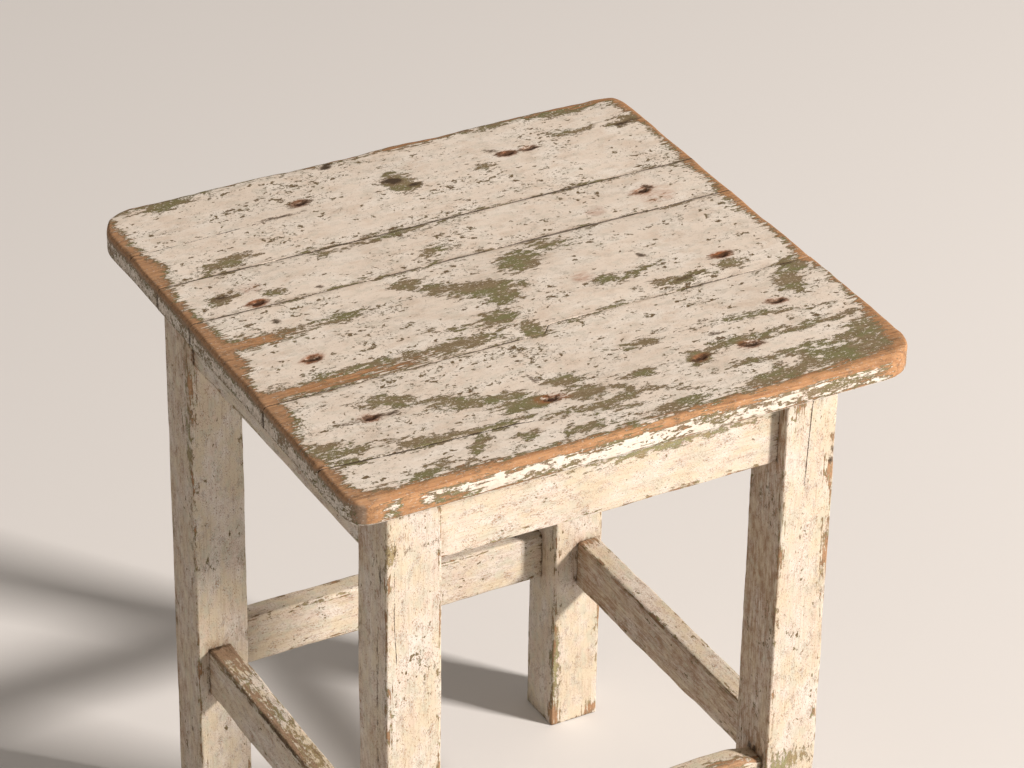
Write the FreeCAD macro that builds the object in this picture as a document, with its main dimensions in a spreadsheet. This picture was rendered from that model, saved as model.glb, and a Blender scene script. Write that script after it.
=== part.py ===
import FreeCAD, Part
import os
import Sketcher

# Small square potting bench: four nailed top boards on a mortised softwood frame.
#
# Millimetres. X runs along the front from left to right, +Y points to the back and +Z is up.
# The origin is on the floor, under the middle of the top.

SIZES = (
    ("bench_height", 475, "floor to the top's upper face"),
    ("top_width", 400, "side to side, along the boards"),
    ("top_depth", 400, "front to back, across the boards"),
    ("top_thickness", 17, "of every board"),
    ("corner_round", 20, "radius of the top's corners, seen from above"),
    ("top_arris", 5, "rounding of the top's upper edge"),
    ("back_board_width", 112, ""),
    ("narrow_board_width", 51, ""),
    ("front_board_left", 126, "width of the front board at its left end"),
    ("front_board_right", 135, "width of the front board at its right end"),
    ("seam_step_run", 10, "length over which the front seam steps sideways"),
    ("seam_gap", 0.5, "open gap between neighbouring boards"),
    ("leg_side", 39, "of the square section"),
    ("leg_arris", 1.5, "rounding of the legs' long edges"),
    ("overhang_side", 38.5, "top past the legs, left and right"),
    ("overhang_front", 37, "top past the legs, front and back"),
    ("apron_height", 70, ""),
    ("apron_thickness", 20, ""),
    ("apron_arris", 1.2, "rounding of the aprons' lower edges"),
    ("apron_setback_front", 8, "apron's outer face behind the legs' outer face"),
    ("apron_setback_right", 4, ""),
    ("apron_setback_back", 2, ""),
    ("apron_setback_left", 4, ""),
    ("rail_height", 38, ""),
    ("rail_thickness", 18, ""),
    ("rail_arris", 2.5, "rounding of the rails' long edges"),
    ("rail_low", 121, "floor to the rails' lower face"),
    ("rail_setback_front", 5, "rail's outer face behind the legs' outer face"),
    ("rail_setback_right", 3, ""),
    ("rail_setback_back", 1, ""),
    ("rail_setback_left", 8, ""),
    ("tenon_thickness", 9, "of every tenon"),
    ("mortise_web", 3, "wood left between two mortises that meet in a leg"),
    ("mortise_end_gap", 1, "glue room past a tenon's end"),
    ("apron_top_shoulder", 12, "apron above its tenon"),
    ("apron_low_shoulder", 6, "apron below its tenon"),
    ("rail_shoulder", 5, "rail above and below its tenon"),
    ("nail_length", 45, ""),
    ("nail_head_width", 5, "diameter"),
    ("nail_head_thickness", 1.2, ""),
    ("nail_head_sink", 0.8, "head below the top's face"),
    ("nail_shank_width", 2.4, "diameter"),
    ("nail_point_length", 5, ""),
    ("nail_fit", 0.05, "room around a nail in its hole"),
    ("nail_end_gap", 1, "room past a nail's point"),
    ("front_nail_from_left", 84, "from the apron's left shoulder"),
    ("front_nail_from_right", 55, "from the apron's right shoulder"),
    ("front_nail_near_right", 19, "from the apron's right shoulder"),
    ("back_nail_from_left", 57, "from the apron's left shoulder, seen from the front"),
    ("back_nail_from_right", 31, "from the apron's right shoulder, seen from the front"),
    ("back_nail_near_right", 14, "from the apron's right shoulder, seen from the front"),
    ("left_nail_narrow_board", 6, "behind the narrow board's front edge"),
    ("left_nail_middle_board", 38, "behind the front seam"),
    ("left_nail_front_board", 41, "in front of the front seam"),
    ("right_nail_narrow_board", 26, "behind the narrow board's front edge"),
    ("right_nail_middle_board", 27, "behind the front seam"),
    ("right_nail_front_board", 41, "in front of the front seam"),
)

# Each side is a quarter turn on from the one before it, seen from above. In a side's own frame
# X runs along the side, Y points inwards and Z is up.
SIDES = ("front", "right", "back", "left")
QUARTER_TURN = 90

# The leg at a side's near end, where its X is lowest.
LEGS = ("front_left", "front_right", "back_right", "back_left")

doc = FreeCAD.newDocument("potting_bench")
subparts = []


# ------------------------------------------------------------------ lengths as expressions

half_width = "sizes.top_width / 2"
half_depth = "sizes.top_depth / 2"
leg_top = "(sizes.bench_height - sizes.top_thickness)"
leg_face_x = f"({half_width} - sizes.overhang_side)"
leg_face_y = f"({half_depth} - sizes.overhang_front)"

seam_back = f"({half_depth} - sizes.back_board_width)"
seam_narrow = f"({seam_back} - sizes.narrow_board_width)"
seam_left = f"(sizes.front_board_left - {half_depth})"
seam_right = f"(sizes.front_board_right - {half_depth})"


def leg_face(side):
    """Distance from the middle of the bench to the legs' outer face on one side."""
    return leg_face_y if side in ("front", "back") else leg_face_x


def half_span(side):
    """Half of the clear distance between the two legs of one side."""
    along = leg_face_x if side in ("front", "back") else leg_face_y
    return f"({along} - sizes.leg_side)"


def neighbours(side):
    """The sides at the near end and at the far end of one side."""
    place = SIDES.index(side)
    return SIDES[place - 1], SIDES[(place + 1) % len(SIDES)]


def mortise_depth(bar, neighbour):
    """A mortise stops short of the one that comes in from the neighbouring side."""
    taken = f"sizes.{bar}_setback_{neighbour} + (sizes.{bar}_thickness + sizes.tenon_thickness) / 2"
    return f"(sizes.leg_side - ({taken}) - sizes.mortise_web)"


def tenon_length(bar, neighbour):
    return f"({mortise_depth(bar, neighbour)} - sizes.mortise_end_gap)"


def tenon_cheeks(bar):
    """The two faces of a tenon, from the bar's outer face."""
    outer = f"(sizes.{bar}_thickness - sizes.tenon_thickness) / 2"
    return outer, f"({outer} + sizes.tenon_thickness)"


def bar_bottom(bar):
    return f"({leg_top} - sizes.apron_height)" if bar == "apron" else "sizes.rail_low"


def tenon_rise(bar):
    """Height of a tenon's lower and upper face above the bar's lower face."""
    if bar == "apron":
        return "sizes.apron_low_shoulder", "(sizes.apron_height - sizes.apron_top_shoulder)"
    return "sizes.rail_shoulder", "(sizes.rail_height - sizes.rail_shoulder)"


def nail_stations(side):
    """Where the nails stand along one side, in that side's own X."""
    low, high = f"-{half_span(side)}", half_span(side)
    if side == "front":
        return (f"{low} + sizes.front_nail_from_left",
                f"{high} - sizes.front_nail_from_right",
                f"{high} - sizes.front_nail_near_right")
    if side == "back":
        return (f"{high} - sizes.back_nail_from_left",
                f"{low} + sizes.back_nail_from_right",
                f"{low} + sizes.back_nail_near_right")
    if side == "right":
        return (f"{seam_narrow} + sizes.right_nail_narrow_board",
                f"{seam_right} + sizes.right_nail_middle_board",
                f"{seam_right} - sizes.right_nail_front_board")
    return (f"-({seam_narrow} + sizes.left_nail_narrow_board)",
            f"-({seam_left} + sizes.left_nail_middle_board)",
            f"-({seam_left} - sizes.left_nail_front_board)")


def apron_middle(side):
    """Distance from the middle of the bench to the middle of an apron's thickness."""
    return f"({leg_face(side)} - sizes.apron_setback_{side} - sizes.apron_thickness / 2)"


def nail_places(side):
    """The nails of one side as X and Y of the whole bench."""
    out = apron_middle(side)
    places = {
        "front": lambda along: (along, f"-{out}"),
        "right": lambda along: (out, along),
        "back": lambda along: (f"-({along})", out),
        "left": lambda along: (f"-{out}", f"-({along})"),
    }
    return [places[side](station) for station in nail_stations(side)]


# ------------------------------------------------------------------ how features are made

def new_body(label):
    body = doc.addObject("PartDesign::Body", label)
    subparts.append(body)
    return body


def sketch_on(body, name, plane, lift="0"):
    """An empty sketch on an origin plane of its own body, lifted along the plane's normal."""
    sketch = body.newObject("Sketcher::SketchObject", name)
    support = next(face for face in body.Origin.OriginFeatures if face.Role == plane)
    sketch.AttachmentSupport = [(support, "")]
    sketch.MapMode = "FlatFace"
    sketch.setExpression("AttachmentOffset.Base.z", lift)
    return sketch


def hold(sketch, kind, geometry, point, expression):
    """Hold one coordinate of a sketch point at a distance from the sketch's origin."""
    value = float(sketch.evalExpression(expression))
    rule = sketch.addConstraint(Sketcher.Constraint(kind, -1, 1, geometry, point, value))
    sketch.setExpression(f"Constraints[{rule}]", expression)


def draw_outline(sketch, corners):
    """A closed outline of straight sides, with each corner held by its X and Y."""
    places = [tuple(float(sketch.evalExpression(word)) for word in corner) for corner in corners]
    first = sketch.GeometryCount
    for number, start in enumerate(places):
        end = places[(number + 1) % len(places)]
        sketch.addGeometry(Part.LineSegment(FreeCAD.Vector(*start, 0), FreeCAD.Vector(*end, 0)))
    for number, (across, up) in enumerate(corners):
        previous = first + (number - 1) % len(corners)
        sketch.addConstraint(Sketcher.Constraint("Coincident", previous, 2, first + number, 1))
        hold(sketch, "DistanceX", first + number, 1, across)
        hold(sketch, "DistanceY", first + number, 1, up)


def draw_rectangle(sketch, left, right, low, high):
    draw_outline(sketch, ((left, low), (right, low), (right, high), (left, high)))


def draw_circles(sketch, centres, diameter):
    for across, up in centres:
        middle = FreeCAD.Vector(
            float(sketch.evalExpression(across)), float(sketch.evalExpression(up)), 0)
        radius = float(sketch.evalExpression(diameter)) / 2
        ring = sketch.addGeometry(Part.Circle(middle, FreeCAD.Vector(0, 0, 1), radius))
        hold(sketch, "DistanceX", ring, 3, across)
        hold(sketch, "DistanceY", ring, 3, up)
        rule = sketch.addConstraint(Sketcher.Constraint("Diameter", ring, 2 * radius))
        sketch.setExpression(f"Constraints[{rule}]", diameter)


def pad(body, sketch, length):
    feature = body.newObject("PartDesign::Pad", f"{sketch.Name}_pad")
    feature.Profile = sketch
    feature.setExpression("Length", length)
    doc.recompute()
    return feature


def pocket(body, sketch, depth, towards_normal=False):
    """Cut from the sketch into the body, and make sure that something was cut."""
    doc.recompute()
    before = body.Shape.Volume
    feature = body.newObject("PartDesign::Pocket", f"{sketch.Name}_pocket")
    feature.Profile = sketch
    feature.Reversed = towards_normal
    feature.setExpression("Length", depth)
    doc.recompute()
    if not body.Shape.Volume < before:
        raise RuntimeError(f"{feature.Name} cuts nothing")
    return feature


def round_edges(body, name, radius, is_chosen):
    """Round the edges of the body so far that a test on their bounding box picks."""
    doc.recompute()
    base = body.Tip
    edges = enumerate(base.Shape.Edges, 1)
    chosen = [f"Edge{number}" for number, edge in edges if is_chosen(edge.BoundBox)]
    feature = body.newObject("PartDesign::Fillet", name)
    feature.Base = (base, chosen)
    feature.setExpression("Radius", radius)
    doc.recompute()
    return feature


def same(first, second):
    return abs(first - second) < 1e-4


def is_upright(box):
    return same(box.XLength, 0) and same(box.YLength, 0)


# ------------------------------------------------------------------ the sub-parts

def add_sizes():
    """The driving dimensions: value in column B under its alias, with a note beside it."""
    sheet = doc.addObject("Spreadsheet::Sheet", "sizes")
    for row, (alias, value, note) in enumerate(SIZES, 1):
        sheet.set(f"A{row}", alias)
        sheet.set(f"B{row}", str(value))
        sheet.set(f"C{row}", note)
        sheet.setAlias(f"B{row}", alias)
    doc.recompute()
    return sheet


def add_board(label, corners, nails):
    """One board of the top: outline, rounded corners and upper edge, then its nail holes."""
    body = new_body(label)
    body.setExpression("Placement.Base.z", leg_top)
    outline = sketch_on(body, f"{label}_outline", "XY_Plane")
    draw_outline(outline, corners)
    pad(body, outline, "sizes.top_thickness")

    side = sizes.top_width / 2
    depth = sizes.top_depth / 2
    thickness = sizes.top_thickness

    def on_corner(box):
        at_side = same(abs(box.XMin), side)
        at_end = same(abs(box.YMin), depth)
        return is_upright(box) and at_side and at_end

    def on_rim(box):
        at_top = same(box.ZMin, thickness) and same(box.ZMax, thickness)
        middle = box.Center
        seam_inset = sizes.corner_round
        at_side = abs(middle.x) > side - seam_inset
        at_end = abs(middle.y) > depth - seam_inset
        return at_top and (at_side or at_end)

    if label in ("board_back", "board_front"):
        round_edges(body, f"{label}_corners", "sizes.corner_round", on_corner)
    round_edges(body, f"{label}_rim", "sizes.top_arris", on_rim)

    heads = sketch_on(body, f"{label}_heads", "XY_Plane", "sizes.top_thickness")
    draw_circles(heads, nails, "sizes.nail_head_width + 2 * sizes.nail_fit")
    pocket(body, heads, "sizes.nail_head_sink + sizes.nail_head_thickness")
    shanks = sketch_on(body, f"{label}_shanks", "XY_Plane", "sizes.top_thickness")
    draw_circles(shanks, nails, "sizes.nail_shank_width + 2 * sizes.nail_fit")
    pocket(body, shanks, "sizes.top_thickness")


def add_top():
    """Four boards from the back edge to the front edge, parted by narrow open seams."""
    left, right = f"-{half_width}", half_width
    gap = "sizes.seam_gap / 2"
    step_left, step_right = "-sizes.seam_step_run / 2", "sizes.seam_step_run / 2"
    nail_left = nail_places("left")
    nail_right = nail_places("right")

    add_board("board_back",
              ((left, f"{seam_back} + {gap}"), (right, f"{seam_back} + {gap}"),
               (right, half_depth), (left, half_depth)),
              nail_places("back"))
    add_board("board_narrow",
              ((left, f"{seam_narrow} + {gap}"), (right, f"{seam_narrow} + {gap}"),
               (right, f"{seam_back} - {gap}"), (left, f"{seam_back} - {gap}")),
              (nail_left[0], nail_right[0]))
    add_board("board_middle",
              ((left, f"{seam_left} + {gap}"), (step_left, f"{seam_left} + {gap}"),
               (step_right, f"{seam_right} + {gap}"), (right, f"{seam_right} + {gap}"),
               (right, f"{seam_narrow} - {gap}"), (left, f"{seam_narrow} - {gap}")),
              (nail_left[1], nail_right[1]))
    add_board("board_front",
              ((left, f"-{half_depth}"), (right, f"-{half_depth}"),
               (right, f"{seam_right} - {gap}"), (step_right, f"{seam_right} - {gap}"),
               (step_left, f"{seam_left} - {gap}"), (left, f"{seam_left} - {gap}")),
              [nail_left[2], nail_right[2]] + nail_places("front"))


def add_bar(bar, side):
    """An apron or a rail: a plain bar with rounded edges and a stub tenon at each end."""
    label = f"{bar}_{side}"
    body = new_body(label)
    turn = QUARTER_TURN * SIDES.index(side)
    body.Placement = FreeCAD.Placement(
        FreeCAD.Vector(), FreeCAD.Rotation(FreeCAD.Vector(0, 0, 1), turn))
    out = f"({leg_face(side)} - sizes.{bar}_setback_{side})"
    outwards = {"front": ("0", f"-{out}"), "right": (out, "0"),
                "back": ("0", out), "left": (f"-{out}", "0")}
    body.setExpression("Placement.Base.x", outwards[side][0])
    body.setExpression("Placement.Base.y", outwards[side][1])
    body.setExpression("Placement.Base.z", bar_bottom(bar))

    plan = sketch_on(body, f"{label}_plan", "XY_Plane")
    draw_rectangle(plan, f"-{half_span(side)}", half_span(side), "0", f"sizes.{bar}_thickness")
    pad(body, plan, f"sizes.{bar}_height")

    def on_long_edge(box):
        along = box.XLength > sizes.leg_side
        return along and (bar == "rail" or same(box.ZMax, 0))

    round_edges(body, f"{label}_edges", f"sizes.{bar}_arris", on_long_edge)

    near, far = neighbours(side)
    outer, inner = tenon_cheeks(bar)
    low, high = tenon_rise(bar)
    tenons = sketch_on(body, f"{label}_tenons", "XY_Plane", low)
    draw_rectangle(tenons,
                   f"-({half_span(side)} + {tenon_length(bar, near)})",
                   f"{half_span(side)} + {tenon_length(bar, far)}",
                   outer, inner)
    pad(body, tenons, f"{high} - {low}")

    if bar == "apron":
        middle = "sizes.apron_thickness / 2"
        holes = sketch_on(body, f"{label}_nail_holes", "XY_Plane", "sizes.apron_height")
        draw_circles(holes, [(station, middle) for station in nail_stations(side)],
                     "sizes.nail_shank_width + 2 * sizes.nail_fit")
        reach = "sizes.nail_head_sink + sizes.nail_length - sizes.top_thickness"
        pocket(body, holes, f"{reach} + sizes.nail_end_gap")


def add_leg(name, side):
    """A square leg at the near end of one side, with two mortises on each inner face."""
    label = f"leg_{name}"
    body = new_body(label)
    turn = QUARTER_TURN * SIDES.index(side)
    body.Placement = FreeCAD.Placement(
        FreeCAD.Vector(), FreeCAD.Rotation(FreeCAD.Vector(0, 0, 1), turn))
    body.setExpression("Placement.Base.x", leg_face_x if "right" in name else f"-{leg_face_x}")
    body.setExpression("Placement.Base.y", leg_face_y if "back" in name else f"-{leg_face_y}")

    section = sketch_on(body, f"{label}_section", "XY_Plane")
    draw_rectangle(section, "0", "sizes.leg_side", "0", "sizes.leg_side")
    pad(body, section, leg_top)
    round_edges(body, f"{label}_edges", "sizes.leg_arris", is_upright)

    before = neighbours(side)[0]
    for bar in ("apron", "rail"):
        outer, inner = tenon_cheeks(bar)
        low, high = (f"{bar_bottom(bar)} + {rise}" for rise in tenon_rise(bar))

        own = sketch_on(body, f"{label}_{bar}_mortise", "YZ_Plane", "sizes.leg_side")
        setback = f"sizes.{bar}_setback_{side}"
        draw_rectangle(own, f"{setback} + {outer}", f"{setback} + {inner}", low, high)
        pocket(body, own, mortise_depth(bar, before))

        other = sketch_on(body, f"{label}_{bar}_side_mortise", "XZ_Plane", "-sizes.leg_side")
        setback = f"sizes.{bar}_setback_{before}"
        draw_rectangle(other, f"{setback} + {outer}", f"{setback} + {inner}", low, high)
        pocket(body, other, mortise_depth(bar, side), towards_normal=True)


def add_nails(side):
    """The nails of one side, a head, a shank and a point each, as separate solids."""
    nails = []
    head_top = "(sizes.bench_height - sizes.nail_head_sink)"
    head_low = f"({head_top} - sizes.nail_head_thickness)"
    shank_low = f"({head_top} - sizes.nail_length + sizes.nail_point_length)"
    point_low = f"({head_top} - sizes.nail_length)"
    for number, (across, back) in enumerate(nail_places(side), 1):
        name = f"nail_{side}_{number}"
        head = doc.addObject("Part::Cylinder", f"{name}_head")
        head.setExpression("Radius", "sizes.nail_head_width / 2")
        head.setExpression("Height", "sizes.nail_head_thickness")
        shank = doc.addObject("Part::Cylinder", f"{name}_shank")
        shank.setExpression("Radius", "sizes.nail_shank_width / 2")
        shank.setExpression("Height", f"{head_low} - {shank_low}")
        point = doc.addObject("Part::Cone", f"{name}_point")
        point.Radius1 = 0
        point.setExpression("Radius2", "sizes.nail_shank_width / 2")
        point.setExpression("Height", "sizes.nail_point_length")
        for piece, low in ((head, head_low), (shank, shank_low), (point, point_low)):
            piece.setExpression("Placement.Base.x", across)
            piece.setExpression("Placement.Base.y", back)
            piece.setExpression("Placement.Base.z", low)
        nail = doc.addObject("Part::MultiFuse", name)
        nail.Shapes = [head, shank, point]
        nails.append(nail)
    group = doc.addObject("Part::Compound", f"nails_{side}")
    group.Links = nails
    subparts.append(group)


def check_and_write():
    """Stop on any failed object or bad shape, then write each sub-part to its own file."""
    doc.recompute()
    for item in doc.Objects:
        if "Invalid" in item.State or "Error" in item.State:
            raise RuntimeError(f"{item.Name} failed: {item.State}")
    for subpart in subparts:
        if subpart.Shape.isNull() or not subpart.Shape.isValid():
            raise RuntimeError(f"{subpart.Label} has no valid shape")
    os.makedirs("parts", exist_ok=True)
    for subpart in subparts:
        subpart.Shape.exportStep(f"parts/{subpart.Label}.step")
        print(subpart.Label, len(subpart.Shape.Solids), round(subpart.Shape.Volume))


sizes = add_sizes()
add_top()
for leg_name, leg_side in zip(LEGS, SIDES):
    add_leg(leg_name, leg_side)
for side_name in SIDES:
    add_bar("apron", side_name)
    add_bar("rail", side_name)
    add_nails(side_name)
check_and_write()
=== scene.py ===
"""Looks of the potting bench: worn cream paint over olive paint over pine, on boards, legs, bars and nails.

Lengths in the shape functions are millimetres along the frame's axes, and SCALE turns them into metres.
Every wooden piece is the skin of a block: a closed net of lines, bent to the real shape by a formula. Its
points carry how worn they are, so that the paint's edges follow the piece and stay sharp at any distance.
"""

import math
from types import SimpleNamespace

import bpy
import numpy as np
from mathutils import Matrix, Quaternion, Vector


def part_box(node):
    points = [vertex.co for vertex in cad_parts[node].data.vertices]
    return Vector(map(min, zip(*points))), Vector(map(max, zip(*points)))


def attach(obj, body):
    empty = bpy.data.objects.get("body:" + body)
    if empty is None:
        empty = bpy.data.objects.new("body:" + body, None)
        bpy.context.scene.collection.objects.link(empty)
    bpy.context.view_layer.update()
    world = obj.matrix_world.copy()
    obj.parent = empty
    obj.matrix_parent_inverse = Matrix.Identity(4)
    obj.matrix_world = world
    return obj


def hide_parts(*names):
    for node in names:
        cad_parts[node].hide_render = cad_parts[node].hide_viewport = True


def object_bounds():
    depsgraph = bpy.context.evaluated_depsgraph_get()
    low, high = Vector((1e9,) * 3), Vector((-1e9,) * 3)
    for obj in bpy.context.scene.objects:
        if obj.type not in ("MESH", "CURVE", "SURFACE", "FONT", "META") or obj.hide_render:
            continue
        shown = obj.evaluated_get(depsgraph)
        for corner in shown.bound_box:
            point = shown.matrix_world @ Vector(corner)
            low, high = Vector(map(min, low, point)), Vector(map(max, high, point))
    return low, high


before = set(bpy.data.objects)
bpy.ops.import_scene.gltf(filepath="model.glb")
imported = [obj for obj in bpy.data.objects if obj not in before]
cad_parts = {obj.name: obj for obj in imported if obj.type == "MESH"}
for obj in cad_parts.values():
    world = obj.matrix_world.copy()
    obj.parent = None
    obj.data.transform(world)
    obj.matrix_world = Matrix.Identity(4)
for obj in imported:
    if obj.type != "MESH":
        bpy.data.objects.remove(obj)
cad_low, cad_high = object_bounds()

SCALE = 0.001
FAR = -14.0  # how far inside a worn patch a point counts as lying, where there is none near

# Spacing of the lines on a skin, in open ground: along a board's faces, and along and across a timber.
BOARD_STEP = 1.6
TIMBER_STEP = 2.0
TIMBER_CROSS_STEP = 1.7

# The top: radius of its four corners by side (left or right, front or back), how far its ends lean to the
# right at the back, measured from the line where they don't, and the radii of its worn arrises.
CORNER_RADII = {(-1, -1): 17.0, (1, -1): 29.0, (1, 1): 19.0, (-1, 1): 36.0}
END_SKEW = 5.0
SKEW_PIVOT = -100.0
TOP_ARRIS = 6.0
END_ARRIS = 3.72
UNDER_ARRIS = 3.0
SEAM_ARRIS = 0.6
SEAM_HALF_GAP = 0.25
END_BAND = 8.0  # how far in the end grain of the left end reaches

# Nails: each head lies in an oval pit in the board, and is an oval itself.
PIT_RADIUS = 2.9
PIT_FLOOR_RADIUS = 1.9
PIT_DEPTH = 1.3
PIT_STRETCH = 1.7
HEAD_SUNK = 0.4
HEAD_RADIUS = 2.5
HEAD_STRETCH = (1.2, 0.8)
SHANK_RADIUS = 1.15
NAIL_TURNS = 28


# ---------------------------------------------------------------------------------------- sizes

def box_of(node):
    """Lowest and highest corner of a CAD node, in millimetres."""
    low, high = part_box(node)
    return np.array(low) / SCALE, np.array(high) / SCALE


def nail_places(node):
    """Middle of each nail head of a group: the corners at its top, split where a gap is wider than a head."""
    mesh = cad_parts[node].data
    corners = np.empty(len(mesh.vertices) * 3)
    mesh.vertices.foreach_get("co", corners)
    corners = corners.reshape(-1, 3) / SCALE
    tops = corners[corners[:, 2] > corners[:, 2].max() - 0.1]
    spread = tops.max(axis=0) - tops.min(axis=0)
    along = int(spread[1] > spread[0])
    tops = tops[np.argsort(tops[:, along])]
    cuts = np.nonzero(np.diff(tops[:, along]) > 6.0)[0] + 1
    return [(group.max(axis=0) + group.min(axis=0)) / 2 for group in np.split(tops, cuts)]


NAIL_GROUPS = [f"nails_{side}" for side in ("front", "right", "back", "left")]
NAILS = {group: nail_places(group) for group in NAIL_GROUPS}
ALL_NAILS = np.array([place for group in NAIL_GROUPS for place in NAILS[group]])

BENCH_LOW = np.array(cad_low) / SCALE
BENCH_HIGH = np.array(cad_high) / SCALE
TOP_UNDER = box_of("board_front")[0][2]
SEAM_LEFT = box_of("board_middle")[0][1]
SEAM_RIGHT = box_of("board_front")[1][1]
BACK_SEAMS = [box_of(node)[0][1] for node in ("board_back", "board_narrow")]


# ---------------------------------------------------------------------------------------- surfaces

def ripple(points, length, seed, count=16):
    """Soft random swell: the sum of `count` sine waves in random directions, each about `length` long."""
    draw = np.random.default_rng(seed)
    ways = draw.normal(size=(count, 3))
    ways /= np.linalg.norm(ways, axis=1, keepdims=True)
    turns = 2 * math.pi / (length * draw.uniform(0.7, 1.6, count))
    starts = draw.uniform(0, 2 * math.pi, count)
    return np.sin(points @ (ways * turns[:, None]).T + starts).sum(axis=1) / math.sqrt(count / 2)


def graded(low, high, step, fine, reach, places=()):
    """Lines from low to high, `step` apart, closing up to `fine` within `reach` of both ends and each place.
    They lie at equal steps of the running sum of one over the wanted spacing."""
    run = np.linspace(low, high, 6001)
    near = np.min([np.abs(run - place) for place in (low, high, *places)], axis=0)
    share = np.clip(near / reach, 0, 1) ** 2
    spacing = fine + (step - fine) * share
    total = np.concatenate([[0], np.cumsum(np.diff(run) / spacing[:-1])])
    return np.interp(np.linspace(0, total[-1], math.ceil(total[-1]) + 1), total, run)


def skin(xs, ys, zs):
    """Points and outward quads of a block's six sides: every crossing of the three sets of lines that lies
    outside, each point once, so that neighbouring sides share their edge and the skin is closed."""
    shape = (len(xs), len(ys), len(zs))
    i, j, k = np.indices(shape)
    outside = (i % (shape[0] - 1) == 0) | (j % (shape[1] - 1) == 0) | (k % (shape[2] - 1) == 0)
    number = np.full(shape, -1)
    number[outside] = np.arange(np.count_nonzero(outside))
    points = np.stack([xs[i[outside]], ys[j[outside]], zs[k[outside]]], axis=1)
    sides = [
        (number[0], True), (number[-1], False),
        (number[:, 0], False), (number[:, -1], True),
        (number[:, :, 0], True), (number[:, :, -1], False),
    ]
    quads = []
    for net, turned in sides:
        ring = [net[:-1, :-1], net[1:, :-1], net[1:, 1:], net[:-1, 1:]]
        ring = np.stack(ring, axis=-1).reshape(-1, 4)
        quads.append(ring[:, ::-1] if turned else ring)
    return points, np.concatenate(quads)


def soften(across, down, radius):
    """Rounds the edge where two sides meet. `across` and `down` are the distances to the two sides, and the
    square of side `radius` in the edge becomes a quarter disc: each part is scaled by the root of one less
    half the square of the other."""
    part_across = np.clip(1 - across / radius, 0, 1)
    part_down = np.clip(1 - down / radius, 0, 1)
    new_across = across + radius * part_across * (1 - np.sqrt(1 - part_down**2 / 2))
    new_down = down + radius * part_down * (1 - np.sqrt(1 - part_across**2 / 2))
    return new_across, new_down


def fade(value, start, end):
    """0 at start, 1 at end, with a smooth turn between."""
    share = np.clip((value - start) / (end - start), 0, 1)
    return share * share * (3 - 2 * share)


def inside_marks(points, marks, kind):
    """How many millimetres each point lies inside the nearest mark of a kind: one less the length of the
    offset in half sizes, times the smallest half size. Outside, it is negative, down to FAR."""
    deepest = np.full(len(points), FAR)
    for found, centre, half, turn in marks:
        if found != kind:
            continue
        x, y, z = (points - np.array(centre)).T
        cosine, sine = math.cos(math.radians(turn)), math.sin(math.radians(turn))
        local = np.stack([x * cosine + y * sine, y * cosine - x * sine, z], axis=1)
        reach = np.linalg.norm(local / np.array(half), axis=1)
        deepest = np.maximum(deepest, (1 - reach) * min(half))
    return deepest


def set_out(name, mesh, slot):
    """Puts a finished mesh in the scene as the piece that stands for the CAD node of that name."""
    mesh.shade_smooth()
    mesh.materials.append(MATERIALS[slot])
    piece = bpy.data.objects.new(f"{name}_worn", mesh)
    bpy.context.scene.collection.objects.link(piece)
    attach(piece, "root")
    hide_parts(name)


def make_piece(name, points, quads, slot, facts):
    """Turns points and quads into a worn wooden piece. `facts` are the numbers that each point carries for
    the material."""
    mesh = bpy.data.meshes.new(name)
    mesh.vertices.add(len(points))
    mesh.vertices.foreach_set("co", (points * SCALE).astype(np.float32).ravel())
    mesh.loops.add(quads.size)
    mesh.loops.foreach_set("vertex_index", quads.astype(np.int32).ravel())
    mesh.polygons.add(len(quads))
    mesh.polygons.foreach_set("loop_start", np.arange(0, quads.size, 4, dtype=np.int32))
    mesh.update(calc_edges=True)
    for key, values in facts.items():
        kind, field = ("FLOAT_VECTOR", "vector") if values.ndim == 2 else ("FLOAT", "value")
        layer = mesh.attributes.new(key, kind, "POINT")
        layer.data.foreach_set(field, values.astype(np.float32).ravel())
    set_out(name, mesh, slot)


# ---------------------------------------------------------------------------------------- materials

class Wire:
    """One output socket of a material. A sum written on it adds its Math nodes."""

    def __init__(self, tree, socket):
        self.tree = tree
        self.socket = socket

    @classmethod
    def add(cls, tree, kind, settings=None, inputs=None, output=0):
        """Adds a node of any type, with its settings, then the values or wires of its sockets."""
        node = tree.nodes.new(kind)
        for key, value in (settings or {}).items():
            setattr(node, key, value)
        for key, value in (inputs or {}).items():
            if isinstance(value, Wire):
                tree.links.new(value.socket, node.inputs[key])
            else:
                node.inputs[key].default_value = value
        return cls(tree, node.outputs[output]) if len(node.outputs) else None

    def math(self, operation, first, second=0.0):
        return Wire.add(self.tree, "ShaderNodeMath", {"operation": operation}, {0: first, 1: second})

    def __add__(self, other):
        return self.math("ADD", self, other)

    __radd__ = __add__

    def __sub__(self, other):
        return self.math("SUBTRACT", self, other)

    def __rsub__(self, other):
        return self.math("SUBTRACT", other, self)

    def __mul__(self, other):
        return self.math("MULTIPLY", self, other)

    __rmul__ = __mul__

    def __abs__(self):
        return self.math("ABSOLUTE", self)

    def __or__(self, other):
        """The larger of the two."""
        return self.math("MAXIMUM", self, other)

    def clamped(self):
        """Held between 0 and 1."""
        self.socket.node.use_clamp = True
        return self

    def part(self):
        """What is left after the whole number is taken off."""
        return self.math("FRACT", self)

    def to(self, power):
        return self.math("POWER", self, power)


def attribute(tree, name, vector=False):
    """A number or a vector that the piece's points carry."""
    return Wire.add(tree, "ShaderNodeAttribute", {"attribute_name": name}, output=1 if vector else 2)


def stretched(place, along, across):
    """The grain's own place, with one scale along the grain and another across it."""
    inputs = {0: place, 1: (along, across, across)}
    return Wire.add(place.tree, "ShaderNodeVectorMath", {"operation": "MULTIPLY"}, inputs)


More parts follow.
